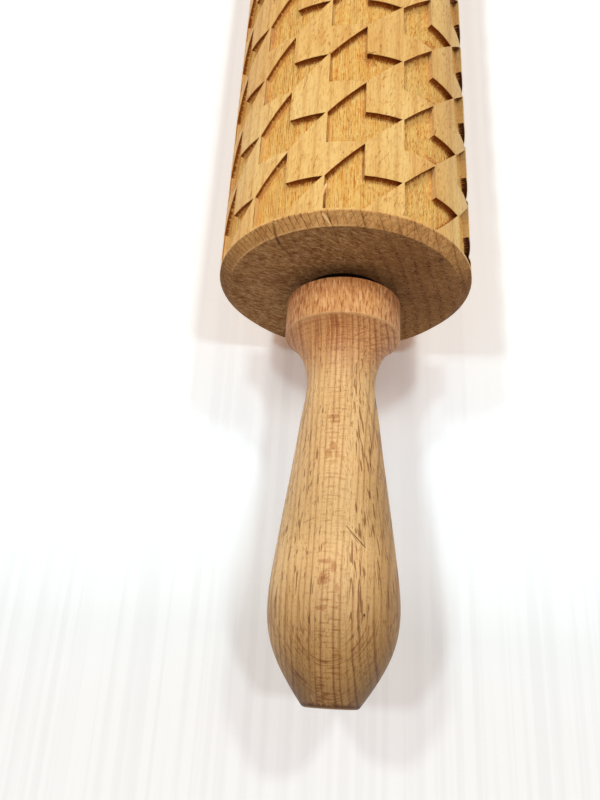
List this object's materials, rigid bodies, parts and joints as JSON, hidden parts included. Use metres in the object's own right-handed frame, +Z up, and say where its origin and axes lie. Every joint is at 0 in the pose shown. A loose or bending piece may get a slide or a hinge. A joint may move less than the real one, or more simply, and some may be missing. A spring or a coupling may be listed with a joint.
{
  "type": "rolling pin",
  "caption": "Wooden rolling pin with a houndstooth relief cut into its barrel, which spins on a steel axle rod between turned handles.",
  "frame": {"origin": "on the axle at the middle of the barrel", "axes": "+X along the axle towards the right handle, +Z up when the pin lies on a table"},
  "size_m": [0.4318, 0.06, 0.06],
  "materials": {
    "barrel_wood": "bare beech, sanded, with a rough cut floor in the relief",
    "handle_wood": "bare beech, turned and sanded",
    "axle_steel": "drawn bright bar",
    "bush_nylon": "moulded, matt",
    "washer_nylon": "punched sheet, matt"
  },
  "bodies": {
    "handles": {"axle_rod": "axle_steel", "left_handle": "handle_wood", "right_handle": "handle_wood", "left_washer": "washer_nylon", "right_washer": "washer_nylon"},
    "barrel": {"barrel": "barrel_wood", "left_bush": "bush_nylon", "right_bush": "bush_nylon"}
  },
  "joints": [
    {"name": "barrel_spin", "type": "hinge", "parent": "handles", "child": "barrel", "pos_m": [0, 0, 0], "axis": [1, 0, 0], "continuous": true}
  ]
}
